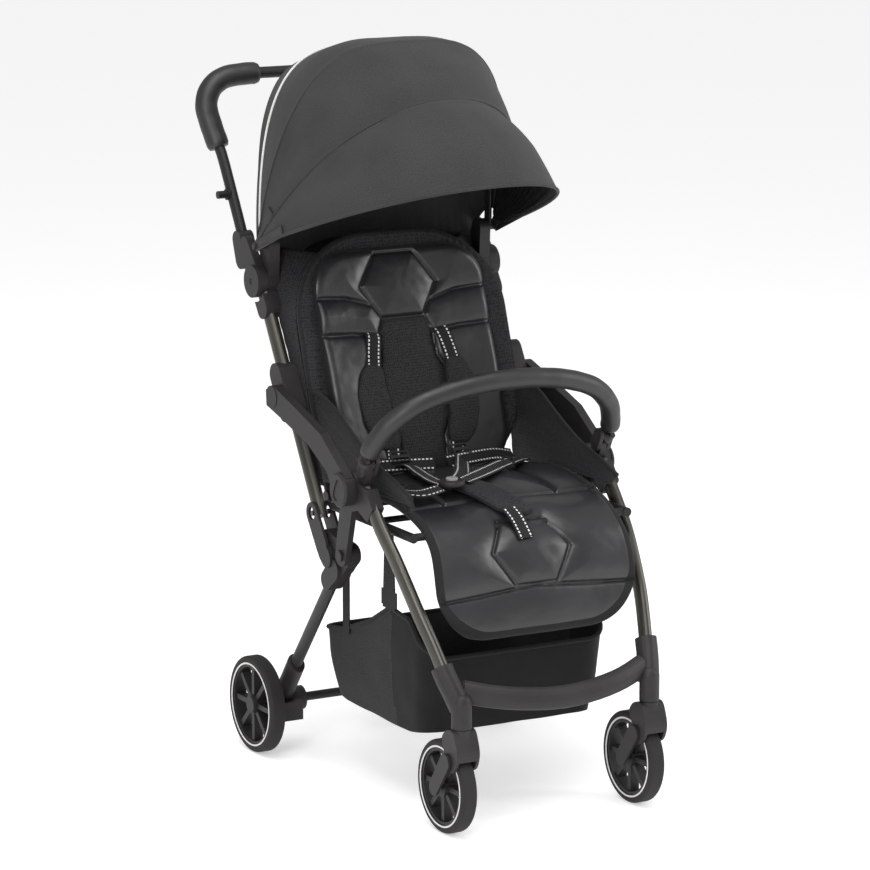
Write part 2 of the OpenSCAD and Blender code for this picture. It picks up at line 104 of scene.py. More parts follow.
def soft_box(name, place, aim, width, height, power):
    """A rectangular area light at a place, facing the point it is aimed at."""
    bpy.ops.object.light_add(type="AREA", location=place)
    lamp = bpy.context.object
    lamp.name = name
    lamp.data.shape, lamp.data.size, lamp.data.size_y = "RECTANGLE", width, height
    lamp.data.energy = power
    lamp.rotation_euler = (Vector(place) - Vector(aim)).to_track_quat("Z", "Y").to_euler()
    return lamp


soft_box("soft_box_above", (-0.5, -0.8, 3.2), (0, 0, 0.7), 2.0, 2.0, 60)
soft_box("soft_box_front_left", (-2.9, -2.6, 2.0), (0, 0, 0.6), 1.4, 2.0, 62)
soft_box("soft_box_right", (3.0, -1.6, 1.7), (0, 0, 0.6), 0.9, 2.2, 44)
bpy.context.scene.view_settings.view_transform = "Standard"

# %% [markdown]
# ## Finishes
# Each finish is a small shader tree: a base colour broken up by noise, a roughness that varies a
# little, and a bump that carries the grain or the weave at its true size. Patterns on rigid parts
# read Object coordinates in metres, and those on cloth read the piece's own UV map, in metres too.

# %% Helpers for colours and shader nodes
def linear(code):
    """A hex colour as it is written, turned to the linear values that a shader wants."""
    values = [int(code[i:i + 2], 16) / 255 for i in (1, 3, 5)]
    return tuple(v / 12.92 if v <= 0.04045 else ((v + 0.055) / 1.055) ** 2.4
                 for v in values) + (1.0,)


def add(tree, kind, values=None, links=None, **settings):
    """One shader node with its settings, its fixed inputs, and the sockets that feed it."""
    node = tree.nodes.new(kind)
    for name, value in settings.items():
        setattr(node, name, value)
    for name, value in (values or {}).items():
        node.inputs[name].default_value = value
    for name, socket in (links or {}).items():
        tree.links.new(socket, node.inputs[name])
    return node


def new_finish(name, **shader):
    """A material with a bare principled shader, and the tree to build on."""
    finish = bpy.data.materials.new(name)
    finish.use_nodes = True
    tree = finish.node_tree
    shader_node = tree.nodes["Principled BSDF"]
    for socket, value in shader.items():
        shader_node.inputs[socket.replace("_", " ")].default_value = value
    return finish, tree, shader_node


def coordinates(tree, source="Object"):
    return add(tree, "ShaderNodeTexCoord").outputs[source]


def colour_between(tree, socket, dark, light, low=0.35, high=0.65):
    """A ramp from a dark hex colour to a light one, driven by a grey socket."""
    ramp = add(tree, "ShaderNodeValToRGB", links={"Fac": socket})
    ramp.color_ramp.elements[0].position, ramp.color_ramp.elements[1].position = low, high
    ramp.color_ramp.elements[0].color = linear(dark)
    ramp.color_ramp.elements[1].color = linear(light)
    return ramp.outputs["Color"]


def grey_between(tree, socket, low, high):
    """The same for a roughness: a grey socket carried to a range."""
    return add(tree, "ShaderNodeMapRange", {"To Min": low, "To Max": high},
               {"Value": socket}).outputs["Result"]


def raise_from(tree, shader, socket, distance, strength=1.0, under=None):
    """Bump from a height socket, on top of an earlier bump if one is given."""
    links = {"Height": socket}
    if under is not None:
        links["Normal"] = under
    bump = add(tree, "ShaderNodeBump", {"Distance": distance, "Strength": strength}, links)
    tree.links.new(bump.outputs["Normal"], shader.inputs["Normal"])
    return bump.outputs["Normal"]


def math_node(tree, operation, first, second=None):
    """Arithmetic on sockets or plain numbers."""
    node = add(tree, "ShaderNodeMath", operation=operation)
    for i, value in enumerate((first, second)):
        if value is None:
            continue
        if isinstance(value, (int, float)):
            node.inputs[i].default_value = value
        else:
            tree.links.new(value, node.inputs[i])
    return node.outputs[0]


# %% [markdown]
# Satin anodised aluminium: a warm grey-green metal, brushed before it is dyed. Very fine noise in
# the roughness and a faint bump break up the highlight, and the eye reads metal.

# %% Satin anodised tube
def satin_anodised():
    finish, tree, shader = new_finish("satin_anodised_aluminium", Metallic=0.85, Roughness=0.4)
    here = coordinates(tree)
    fine = add(tree, "ShaderNodeTexNoise", {"Scale": 900.0, "Detail": 3.0}, {"Vector": here})
    slow = add(tree, "ShaderNodeTexNoise", {"Scale": 9.0, "Detail": 2.0}, {"Vector": here})
    tree.links.new(colour_between(tree, slow.outputs["Fac"], "#454440", "#55534d"),
                   shader.inputs["Base Color"])
    tree.links.new(grey_between(tree, fine.outputs["Fac"], 0.3, 0.46), shader.inputs["Roughness"])
    raise_from(tree, shader, fine.outputs["Fac"], 0.00002, 0.3)
    return finish


# %% [markdown]
# Glass-filled nylon, moulded in a spark-eroded tool: a matt brown-grey with a grain of about half a
# millimetre. The grain breaks the highlight, so big joints look solid and not like toy plastic.

# %% Moulded plastic and powder coat
def moulded_plastic(name, dark, light, rough, grain=1500.0):
    finish, tree, shader = new_finish(name, Roughness=rough)
    shader.inputs["Specular IOR Level"].default_value = 0.35
    here = coordinates(tree)
    fine = add(tree, "ShaderNodeTexNoise", {"Scale": grain, "Detail": 2.0}, {"Vector": here})
    slow = add(tree, "ShaderNodeTexNoise", {"Scale": 14.0, "Detail": 4.0}, {"Vector": here})
    tree.links.new(colour_between(tree, slow.outputs["Fac"], dark, light),
                   shader.inputs["Base Color"])
    tree.links.new(grey_between(tree, slow.outputs["Fac"], rough - 0.05, rough + 0.07),
                   shader.inputs["Roughness"])
    raise_from(tree, shader, fine.outputs["Fac"], 0.00012, 0.5)
    return finish


# %% [markdown]
# Leatherette: a soft polyurethane skin embossed with a pebble grain of about a millimetre. Small
# cells give the pebbles, and a slow noise lets the gloss come and go as on a skin that is handled.

# %% Leatherette
def leatherette(name, dark, light, gloss=0.4):
    finish, tree, shader = new_finish(name, Roughness=gloss)
    shader.inputs["Specular IOR Level"].default_value = 0.55
    here = coordinates(tree)
    pebbles = add(tree, "ShaderNodeTexVoronoi", {"Scale": 620.0}, {"Vector": here},
                  feature="SMOOTH_F1")
    creases = add(tree, "ShaderNodeTexNoise", {"Scale": 38.0, "Detail": 5.0, "Distortion": 0.6},
                  {"Vector": here})
    slow = add(tree, "ShaderNodeTexNoise", {"Scale": 7.0, "Detail": 3.0}, {"Vector": here})
    tree.links.new(colour_between(tree, slow.outputs["Fac"], dark, light),
                   shader.inputs["Base Color"])
    tree.links.new(grey_between(tree, creases.outputs["Fac"], gloss - 0.07, gloss + 0.12),
                   shader.inputs["Roughness"])
    under = raise_from(tree, shader, pebbles.outputs["Distance"], 0.00018, 0.35)
    raise_from(tree, shader, creases.outputs["Fac"], 0.0012, 0.35, under)
    return finish


# %% [markdown]
# Woven cloth has yarns that cross at right angles. Two waves, one along the warp and one along the
# weft, give that grid; a little melange noise and sheen make it cloth and not card.

# %% Woven cloth
def woven(name, dark, light, yarns=1500.0, sheen=0.25, rough=0.85):
    finish, tree, shader = new_finish(name, Roughness=rough)
    shader.inputs["Sheen Weight"].default_value = sheen
    shader.inputs["Specular IOR Level"].default_value = 0.2
    shader.inputs["Sheen Roughness"].default_value = 0.5
    here = coordinates(tree, "UV")
    warp = add(tree, "ShaderNodeTexWave", {"Scale": yarns / 6.283, "Distortion": 0.6,
                                           "Detail": 1.0}, {"Vector": here}, bands_direction="X")
    weft = add(tree, "ShaderNodeTexWave", {"Scale": yarns / 6.283, "Distortion": 0.6,
                                           "Detail": 1.0}, {"Vector": here}, bands_direction="Y")
    weave = math_node(tree, "MULTIPLY", warp.outputs["Fac"], weft.outputs["Fac"])
    melange = add(tree, "ShaderNodeTexNoise", {"Scale": 420.0, "Detail": 2.0}, {"Vector": here})
    slow = add(tree, "ShaderNodeTexNoise", {"Scale": 9.0, "Detail": 3.0}, {"Vector": here})
    mixed = math_node(tree, "ADD", math_node(tree, "MULTIPLY", melange.outputs["Fac"], 0.6),
                      math_node(tree, "MULTIPLY", slow.outputs["Fac"], 0.4))
    tree.links.new(colour_between(tree, mixed, dark, light), shader.inputs["Base Color"])
    raise_from(tree, shader, weave, 0.0002, 0.5)
    return finish


# %% [markdown]
# Spacer mesh is a thick knitted net: rows of small open cells, a few millimetres apart. Cells from
# a Voronoi pattern, deeper in the middle of each, show the holes without cutting them; the darker
# middles are painted shade, laid over the darker back layer that shows through each hole.

# %% Knitted spacer mesh
def spacer_mesh(name, hole_and_shade, yarn, cell=3.2, deep=0.0009):
    finish, tree, shader = new_finish(name, Roughness=0.8)
    shader.inputs["Sheen Weight"].default_value = 0.04
    shader.inputs["Specular IOR Level"].default_value = 0.25
    here = coordinates(tree, "UV")
    stretched = add(tree, "ShaderNodeMapping", {"Scale": (1.0, 0.72, 1.0)}, {"Vector": here})
    cells = add(tree, "ShaderNodeTexVoronoi", {"Scale": 1000.0 / cell, "Randomness": 0.35},
                {"Vector": stretched.outputs["Vector"]}, feature="F1")
    # Dark cell middles: the holes, painted as shade over the darker back layer seen through them.
    tree.links.new(colour_between(tree, cells.outputs["Distance"], hole_and_shade, yarn, 0.12, 0.5),
                   shader.inputs["Base Color"])
    raise_from(tree, shader, cells.outputs["Distance"], deep, 0.8)
    return finish


# %% [markdown]
# Harness webbing is a flat polyester tape with two rows of white marking yarn near its edges. The
# dashes follow the strap, so they read the strap's own UV map, across in u and along in v.

# %% Webbing with marked edges
def webbing(name, width, marks=True):
    finish, tree, shader = new_finish(name, Roughness=0.75)
    shader.inputs["Sheen Weight"].default_value = 0.04
    shader.inputs["Specular IOR Level"].default_value = 0.25
    here = coordinates(tree, "UV")
    split = add(tree, "ShaderNodeSeparateXYZ", links={"Vector": here})
    across, along = split.outputs["X"], split.outputs["Y"]
    centred = math_node(tree, "ABSOLUTE", math_node(tree, "SUBTRACT", across, width / 2))
    near = math_node(tree, "ABSOLUTE", math_node(tree, "SUBTRACT", centred, width / 2 - 0.0042))
    row = math_node(tree, "LESS_THAN", near, 0.0012)
    beat = math_node(tree, "FRACT", math_node(tree, "MULTIPLY", along, 1 / 0.0062))
    dash = math_node(tree, "MULTIPLY", row, math_node(tree, "LESS_THAN", beat, 0.58))
    amount = dash if marks else 0.0
    mix = add(tree, "ShaderNodeMix", data_type="RGBA")
    mix.inputs["A"].default_value = linear("#1b1b1c")
    mix.inputs["B"].default_value = linear("#d9d9d7")
    if marks:
        tree.links.new(amount, mix.inputs["Factor"])
    else:
        mix.inputs["Factor"].default_value = 0.0
    tree.links.new(mix.outputs["Result"], shader.inputs["Base Color"])
    ribs = math_node(tree, "SINE", math_node(tree, "MULTIPLY", along, 4200.0))
    raise_from(tree, shader, ribs, 0.00018, 0.6)
    return finish


# %% [markdown]
# Tyres are dense dark rubber foam, a shade warmer and rougher than the rims. The white ring is a
# moulded insert.

# %% All the finishes
satin = satin_anodised()
plastic = moulded_plastic("moulded_glass_filled_plastic", "#201e1f", "#292627", 0.52)
powder = moulded_plastic("powder_coated_tube", "#121112", "#191819", 0.48, 2600.0)
rim_plastic = moulded_plastic("moulded_rim_plastic", "#1b1a1a", "#242222", 0.5)
rubber = moulded_plastic("foam_rubber_tyre", "#1d1b1b", "#262424", 0.75, 900.0)
ring_white = moulded_plastic("moulded_white_insert", "#c9c8c5", "#d8d7d4", 0.55)
leather = leatherette("embossed_leatherette", "#1e1d1f", "#272628", 0.33)
grip_leather = leatherette("wrapped_grip_leatherette", "#151516", "#1e1e1f", 0.46)
canopy_cloth = woven("woven_canopy_cloth", "#2a2a2a", "#383938", sheen=0.06)
lining_cloth = woven("woven_canopy_lining", "#070708", "#0d0d0e", sheen=0.02)
binding = woven("woven_binding_tape", "#19191a", "#222223", 2200.0, sheen=0.05)
bag_cloth = woven("woven_basket_cloth", "#141414", "#1b1b1c", 1300.0, sheen=0.04)
piping_cloth = woven("woven_white_piping", "#bdbdba", "#d2d2cf", 2200.0)
button_grey = moulded_plastic("moulded_grey_button", "#8a8584", "#979291", 0.45)
# The first colour of each knit is its holes: the back layer seen through them plus painted shade.
mesh_knit = spacer_mesh("knitted_spacer_mesh", "#060606", "#2b2b2c")
side_knit = spacer_mesh("knitted_side_mesh", "#060607", "#2a2a2c", 3.6)
bag_knit = spacer_mesh("knitted_basket_mesh", "#0a0a0b", "#262627", 2.6, 0.0006)
strap_marked = webbing("webbing_with_marking_yarn", 0.025)
strap_plain = webbing("plain_webbing", 0.025, marks=False)
floor_paint, _, floor_shader = new_finish("painted_studio_floor", Roughness=1.0)
floor_shader.inputs["Base Color"].default_value = linear("#f4f4f4")
floor_shader.inputs["Specular IOR Level"].default_value = 0.0
floor_shader.inputs["Emission Color"].default_value = (1.0, 1.0, 1.0, 1.0)
floor_shader.inputs["Emission Strength"].default_value = 0.4
floor.data.materials.append(floor_paint)
print("finishes:", len(bpy.data.materials))

# %% [markdown]
# ## Dressing the rigid parts
# The CAD nodes keep their shape. Each takes one finish in every one of its material slots.

# %% Finishes on the CAD nodes
DRESS = {
    "front_leg": satin, "upright_left": satin, "upright_right": satin, "seat_frame": powder,
    "rear_leg": powder, "handle_tube": powder, "rear_axle_tube": powder, "backrest_frame": powder,
    "tyre": rubber, "rim": rim_plastic, "basket_straps": strap_plain,
}
for name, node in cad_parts.items():
    finish = next((DRESS[k] for k in DRESS if k in name), plastic)
    node.data.materials.clear()
    node.data.materials.append(finish)
print("dressed", len(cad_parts), "CAD nodes")

# %% [markdown]
# ## Tools for soft goods
# Cloth and padding start as a flat grid primitive whose vertices are carried onto a shape, which is
# how a pattern is laid on a form. The grid's own UV map is kept and set to real metres, so weave and
# dashes keep their size. Tubes are the same grid rolled up and merged.

# %% A grid laid on a shape
def deselect():
    bpy.ops.object.select_all(action="DESELECT")


def edit_all(*steps):
    """Runs edit-mode steps on the whole of the active piece."""
    bpy.ops.object.mode_set(mode="EDIT")
    bpy.ops.mesh.select_all(action="SELECT")
    for step, settings in steps:
        step(**settings)
    bpy.ops.object.mode_set(mode="OBJECT")


def lay_grid(name, across, along, shape, size):
    """A grid of quads over u and v from 0 to 1, carried to shape(u, v) in drawing millimetres."""
    deselect()
    bpy.ops.mesh.primitive_grid_add(x_subdivisions=across, y_subdivisions=along, size=1)
    piece = bpy.context.object
    piece.name = piece.data.name = name
    flat = np.empty(len(piece.data.vertices) * 3)
    piece.data.vertices.foreach_get("co", flat)
    flat = flat.reshape(-1, 3)
    places = from_drawing(shape(flat[:, 0] + 0.5, flat[:, 1] + 0.5))
    piece.data.vertices.foreach_set("co", places.ravel())
    layer = piece.data.uv_layers.active.data
    cut = np.empty(len(layer) * 2)
    layer.foreach_get("uv", cut)
    layer.foreach_set("uv", (cut.reshape(-1, 2) * np.array(size)).ravel())
    piece.data.update()
    bpy.ops.object.shade_smooth()
    return piece


def wear(piece, finish, second=None):
    piece.data.materials.append(finish)
    if second is not None:
        piece.data.materials.append(second)
    return piece


def thicken(piece, millimetres, lining=0, offset=-1.0):
    """Gives a sheet its thickness, with a second finish inside if there is one."""
    deselect()
    piece.select_set(True)
    bpy.context.view_layer.objects.active = piece
    wall = piece.modifiers.new("wall", "SOLIDIFY")
    wall.thickness, wall.offset, wall.material_offset = millimetres / 1000, offset, lining
    bpy.ops.object.modifier_apply(modifier="wall")
    return piece


def close_up(piece):
    """Merges the doubles of a rolled or joined piece and turns its faces outwards."""
    deselect()
    piece.select_set(True)
    bpy.context.view_layer.objects.active = piece
    edit_all((bpy.ops.mesh.remove_doubles, {"threshold": 0.00002}),
             (bpy.ops.mesh.normals_make_consistent, {"inside": False}))
    return piece


# %% Smooth lines through points
def smooth_line(points, count):
    """A curve through the points, read at evenly spaced distances along it."""
    p = np.asarray(points, float)
    p = np.vstack([2 * p[0] - p[1], p, 2 * p[-1] - p[-2]])
    t = np.linspace(0, 1, 24, endpoint=False)[:, None]
    runs = []
    for a, b, c, d in zip(p[:-3], p[1:-2], p[2:-1], p[3:]):
        runs.append(0.5 * (2 * b + (c - a) * t + (2 * a - 5 * b + 4 * c - d) * t ** 2
                           + (3 * b - a - 3 * c + d) * t ** 3))
    line = np.vstack(runs + [p[-2:-1]])
    gone = np.concatenate([[0], np.cumsum(np.linalg.norm(np.diff(line, axis=0), axis=1))])
    even = np.linspace(0, gone[-1], count)
    return np.stack([np.interp(even, gone, line[:, k]) for k in range(line.shape[1])], 1), gone[-1]


def read_line(line, v):
    """A point of an evenly spaced line at v from 0 to 1, between its own points."""
    place = np.clip(np.asarray(v), 0, 1) * (len(line) - 1)
    return np.stack([np.interp(place, np.arange(len(line)), line[:, k])
                     for k in range(line.shape[1])], 1)


def far_from(line, x, y):
    """How far each point (x, y) lies from a line of points in its own flat plane."""
    p = np.stack([x, y], 1)
    best = np.full(len(p), 1e9)
    for a, b in zip(np.asarray(line, float)[:-1], np.asarray(line, float)[1:]):
        run = b - a
        t = np.clip(((p - a) @ run) / (run @ run), 0, 1)[:, None]
        best = np.minimum(best, np.linalg.norm(p - a - t * run, axis=1))
    return best


def inside_of(line, x, y):
    """Whether each point lies inside a closed line."""
    ring = np.asarray(line, float)
    hit = np.zeros(len(x), bool)
    for (ax, ay), (bx, by) in zip(ring, np.roll(ring, -1, 0)):
        if ay == by:
            continue
        hit ^= ((ay > y) != (by > y)) & (x < (bx - ax) * (y - ay) / (by - ay) + ax)
    return hit


# %% Tubes, straps and pads
def roll_tube(name, points, radius, sides=20, rows=80, flat=1.0, ref=(0, 0, 1)):
    """A tube along a smooth line. radius(v) is in millimetres, and both ends are closed."""
    line, length = smooth_line(points, rows)
    ahead = np.gradient(line, axis=0)
    ahead /= np.linalg.norm(ahead, axis=1)[:, None]
    side = np.cross(np.asarray(ref, float), ahead)
    side /= np.linalg.norm(side, axis=1)[:, None]
    up = np.cross(ahead, side)

    def shape(u, v):
        w = np.clip((v * (rows + 3) - 1) / (rows + 1), 0, 1)
        at, s, n = read_line(line, w), read_line(side, w), read_line(up, w)
        r = np.where((v < 1e-6) | (v > 1 - 1e-6), 0.0, radius(w))[:, None]
        turn = (2 * math.pi * u)[:, None]
        return at + r * (np.cos(turn) * s + flat * np.sin(turn) * n)

    size = (2 * math.pi * float(radius(np.array([0.5]))[0]) / 1000, length / 1000)
    return close_up(lay_grid(name, sides, rows + 3, shape, size))


def lay_strap(name, points, faces, width, thick=1.6, rows=60, across=6):
    """A flat strap along a line of points; faces are the ways its flat side looks."""
    line, length = smooth_line(points, rows)
    look, _ = smooth_line(faces, rows) if len(faces) > 1 else (np.repeat(
        np.asarray(faces, float), rows, 0), 0)
    look = look / np.linalg.norm(look, axis=1)[:, None]
    ahead = np.gradient(line, axis=0)
    side = np.cross(ahead, look)
    side /= np.linalg.norm(side, axis=1)[:, None]

    def shape(u, v):
        return (read_line(line, v) + read_line(side, v) * ((u - 0.5) * width)[:, None]
                + read_line(look, v) * (0.25 * np.cos((u - 0.5) * 9))[:, None])

    strap = lay_grid(name, across, rows, shape, (width / 1000, length / 1000))
    return thicken(strap, thick, offset=0.0)


def rounded(a, b, half_w, half_h, corner):
    """Carries a square from -1 to 1 onto a rectangle with round corners, ring by ring."""
    m = np.maximum(np.abs(a), np.abs(b))
    safe = np.where(m < 1e-9, 1, m)
    x, y = a / safe * half_w, b / safe * half_h
    cx, cy = np.clip(x, corner - half_w, half_w - corner), np.clip(y, corner - half_h,
                                                                   half_h - corner)
    dx, dy = x - cx, y - cy
    d = np.hypot(dx, dy)
    d = np.where(d < 1e-9, 1, d)
    outside = (np.abs(x) > half_w - corner) & (np.abs(y) > half_h - corner)
    x = np.where(outside, cx + dx / d * corner, x)
    y = np.where(outside, cy + dy / d * corner, y)
    return x * m, y * m, m


def sew_pad(name, cells, half_w, low, high, corner, carry, front, behind, roll=16.0):
    """A closed pad: a front and a back laid on the same outline and joined round their rim.
    front(x, s) and behind(x, s) are depths in millimetres, and carry(x, s, d) places them."""
    half_h, middle = (high - low) / 2, (high + low) / 2
    size = (2 * half_w / 1000, 2 * half_h / 1000)

    def half(depth):
        def shape(u, v):
            x, y, m = rounded(2 * u - 1, 2 * v - 1, half_w, half_h, corner)
            s = y + middle
            edge = np.clip((1 - m) * min(half_w, half_h) / roll, 0, 1)
            return carry(x, s, depth(x, s) * np.sqrt(1 - (1 - edge) ** 2))
        return shape

    across, along = cells
    face = lay_grid(name, across, along, half(front), size)
    rear = lay_grid(name + "_rear", across, along, half(behind), size)
    deselect()
    rear.select_set(True)
    face.select_set(True)
    bpy.context.view_layer.objects.active = face
    bpy.ops.object.join()
    return close_up(face)


def seams(lines, depth=3.5, width=3.0, swell=3.0, reach=24.0):
    """How a padded skin rises between sewn lines and is drawn in along them, in millimetres."""
    def relief(x, s):
        d = np.min([far_from(line, x, s) for line in lines], axis=0)
        return swell * (1 - np.exp(-d / reach)) - depth * np.exp(-(d / width) ** 2)
    return relief


def ripple(points, cell, height, seed=0.0):
    """Slow unevenness of cloth, the same in every run: smooth noise at a cell size in mm."""
    return np.array([noise.noise(Vector((p[0] / cell + seed, p[1] / cell, p[2] / cell)))
                     for p in points]) * height


print("soft-goods tools are ready")

# %% [markdown]
# ## Canopy
# The canopy is sewn from curved panels stretched over bows that turn about a hub on each side. A
# panel's edge bows follow one outline; between them the cloth is a single curved sheet that dips a
# little. The panels whose two edges sit on different bows are baked in place on no body.

# %% The canopy's outline between its bows
HUB = (181.0, 800.0)
BOWS = np.array([  # angle, reach, half width, rise, round
    [82, 288, 201, 0.72, 0.50], [90, 300, 203, 0.73, 0.52], [98, 317, 205, 0.76, 0.57],
    [107.5, 328, 208, 0.80, 0.64], [121, 332, 209, 0.90, 0.82], [134, 327, 210, 0.97, 0.93],
    [148, 378, 212, 0.95, 0.94], [162, 417, 213, 0.90, 0.95]])


def canopy_point(turn, angle, out=0.0):
    """turn runs 0 to 1 from the +X hem over the top to the -X hem; angle is in degrees."""
    reach, half, rise, soft = (np.interp(angle, BOWS[:, 0], BOWS[:, k]) for k in range(1, 5))
    a = np.radians(2.5 + 175 * turn)
    r = (reach + out) * np.sin(a) ** rise
    x = (half + out * 0.3) * np.sign(np.cos(a)) * np.abs(np.cos(a)) ** soft
    th = np.radians(angle)
    return np.stack([x, HUB[0] + r * np.cos(th), HUB[1] + r * np.sin(th)], 1)


def canopy_panel(name, start, end, dip, inset, rows=48, folds=0.0):
    """One panel of cloth from bow to bow, dipping between them, with seam ridges at its edges."""
    def shape(u, v):
        angle = start + (end - start) * v
        flat = canopy_point(u, angle)
        edge = np.minimum(v, 1 - v) * (end - start) * 5.5
        out = -inset - dip * np.sin(math.pi * v) + 1.6 * np.exp(-(edge / 5) ** 2)
        out = out + ripple(flat, 95, 2.2, seed=start) + ripple(flat, 32, 0.5, seed=start + 9)
        if folds:
            low = np.exp(-(np.minimum(u, 1 - u) / 0.2) ** 2)
            out = out - inset * 0.4 - folds * low * (0.5 + 0.5 * np.sin(
                v * (end - start) * 1.9 + 3 * np.sin(u * 9)))
        return canopy_point(u, angle, out)

    middle = canopy_point(np.linspace(0, 1, 90), np.full(90, (start + end) / 2))
    width = np.linalg.norm(np.diff(middle, axis=0), axis=1).sum() / 1000
    length = math.radians(end - start) * 0.3
    sheet = lay_grid(name, 120, rows, shape, (width, length))
    return sheet


def bow_spot(angle, reach=300):
    th = math.radians(angle)
    return spot(0, HUB[0] + reach * math.cos(th), HUB[1] + reach * math.sin(th))


# %% Canopy panels
for name, start, end, dip, node, bodies in (
        ("canopy_cloth_rear", 82, 107.5, 0.0, "canopy_rear", ("uprights",)),
        ("canopy_cloth_middle", 107.5, 134, 2.5, "canopy_middle", ("uprights", "canopy_middle")),
        ("canopy_cloth_visor", 134, 162, 2.0, "canopy_visor", ("canopy_middle", "canopy_visor"))):
    panel = canopy_panel(name, start, end, dip, 0.6)
    wear(thicken(panel, 1.1, lining=1), canopy_cloth, lining_cloth)
    close_up(panel)
    if len(bodies) == 1:
        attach(panel, bodies[0])
    else:
        bow_spot(start)
        bow_spot(end)
        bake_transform(panel)
    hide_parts(node)

# %% [markdown]
# Inside hangs a thinner lining, sewn in loosely, so it gathers into soft folds towards the sides.

# %% Canopy lining
for name, start, end, bodies in (
        ("canopy_lining_middle", 108, 134, ("uprights", "canopy_middle")),
        ("canopy_lining_visor", 134, 160.5, ("canopy_middle", "canopy_visor"))):
    lining = canopy_panel(name, start, end, 2.0, 7.0, rows=72, folds=9.0)
    wear(thicken(lining, 0.8), lining_cloth)
    close_up(lining)
    bow_spot(start)
    bow_spot(end)
    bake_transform(lining)

# %% [markdown]
# The rear of the canopy is closed by a curtain that drops from the rear bow to the back of the
# backrest's top. It bellies out to the back.

# %% Rear curtain
def curtain_shape(u, v):
    top = canopy_point(u, np.full(len(u), 83.0), -3.0)
    hem = np.stack([200 * np.cos(math.pi * (0.05 + 0.9 * u)), np.full(len(u), 178.0),
                    746 + 10 * np.abs(np.cos(math.pi * u)) ** 3], 1)
    hem[:, 0] = np.sign(hem[:, 0]) * np.abs(hem[:, 0] / 200) ** 0.75 * 184
    w = v[:, None]
    places = top * (1 - w) + hem * w
    places[:, 1] += 30 * np.sin(math.pi * v) ** 0.8 + 0.7 * np.sin(u * 150) * v ** 2
    return places


curtain = lay_grid("canopy_curtain", 160, 40, curtain_shape, (0.8, 0.3))
wear(thicken(curtain, 0.9, offset=0.0), canopy_cloth)
close_up(curtain)
spot(0, 190, 880)
spot(0, 180, 770)
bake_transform(curtain)

# %% Piping, visor hem and seam tapes
def bow_line(angle, out, turns=40, lift=0.0):
    line = canopy_point(np.linspace(0.0, 1, turns), np.full(turns, float(angle)), out)
    return line + [0, 0, lift]


piping = wear(roll_tube("canopy_piping", bow_line(90, 1.2), lambda v: 2.0 + 0 * v, 8, 160),
              piping_cloth)
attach(piping, "uprights")
hem = wear(roll_tube("canopy_visor_hem", bow_line(162, -0.8), lambda v: 2.6 + 0 * v, 10, 200),
           canopy_cloth)
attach(hem, "canopy_visor")
for name, angle, body in (("canopy_seam_rear", 107.5, "uprights"),
                          ("canopy_seam_front", 134, "canopy_middle")):
    tape = wear(roll_tube(name, bow_line(angle, 0.0), lambda v: 2.0 + 0 * v, 8, 160, flat=0.6),
                canopy_cloth)
    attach(tape, body)
print("canopy sewn")

# %% [markdown]
# Each bow ends in a flat moulded arm that reaches down to the hub's pin, where the arms lie side by
# side. An arm is laid as a thick strap, so it keeps one width and turns on its flat side.

# %% Bow arms
ARM_WIDTH, ARM_STEPS = 17, np.array([0.0, 0.012, 0.03, 0.055])
for side, name in ((1, "left"), (-1, "right")):
    for label, angle, across, thick, body in (("rear", 92, 197.6, 3.6, "uprights"),
                                              ("middle", 127, 207.2, 2.2, "canopy_middle"),
                                              ("visor", 158, 210.6, 1.8, "canopy_visor")):
        turn = 0.0 if side == 1 else 1.0
        cloth = canopy_point(np.abs(turn - ARM_STEPS), np.full(4, float(angle)), -5.0)
        run = np.vstack([[[0, HUB[0], HUB[1]]], cloth])
        run[:, 0] = side * across
        arm = lay_strap("bow_arm_%s_%s" % (label, name), run, [[side, 0, 0]], ARM_WIDTH,
                        thick=thick, rows=40)
        wear(arm, plastic)
        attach(arm, body)
print("bow arms made")

# %% [markdown]
# ## Seat and leg rest
# One leatherette cover runs over the seat, round its front edge and down the leg rest. It is a padded
# skin on a closed form: the skin rises between the sewn lines and is drawn in along them, and its
# edge is bound with a dark woven tape.

# %% The side line of the seat cover
COVER = np.array([[-314, 277], [-319, 290], [-319, 312], [-315, 350], [-305, 386], [-287, 416],
                  [-256, 440], [-218, 456], [-175, 466], [-120, 470], [-60, 467], [6, 458]], float)
cover_line, cover_length = smooth_line(COVER, 400)
cover_way = np.gradient(cover_line, axis=0)
cover_way /= np.linalg.norm(cover_way, axis=1)[:, None]
print("cover runs", round(cover_length), "mm over the seat's front")


def on_cover(x, s, d):
    """x across, s up the leg rest and back along the seat, d out of the skin."""
    at, way = read_line(cover_line, s / cover_length), read_line(cover_way, s / cover_length)
    taper = 1 + 0.035 * np.exp(-((s - 90) / 60) ** 2)
    return np.stack([x * taper, at[:, 0] - way[:, 1] * d, at[:, 1] + way[:, 0] * d], 1)


def bind_edges(piece, size, width):
    """Gives the second material to the faces within a binding's width of the pad's outline."""
    layer = piece.data.uv_layers.active.data
    cut = np.empty(len(layer) * 2)
    layer.foreach_get("uv", cut)
    cut = cut.reshape(-1, 2) / np.array(size)
    for face in piece.data.polygons:
        u, v = cut[list(face.loop_indices)].mean(axis=0)
        m = max(abs(2 * u - 1), abs(2 * v - 1))
        if (1 - m) * min(size) / 2 * 1000 < width:
            face.material_index = 1


def hexagon(middle_s, half, top, bottom, height):
    """A closed six-cornered seam, wider at its middle, about x = 0."""
    up, down = middle_s + height / 2, middle_s - height / 2
    return [[-top, up], [top, up], [half, middle_s], [bottom, down], [-bottom, down],
            [-half, middle_s], [-top, up]]


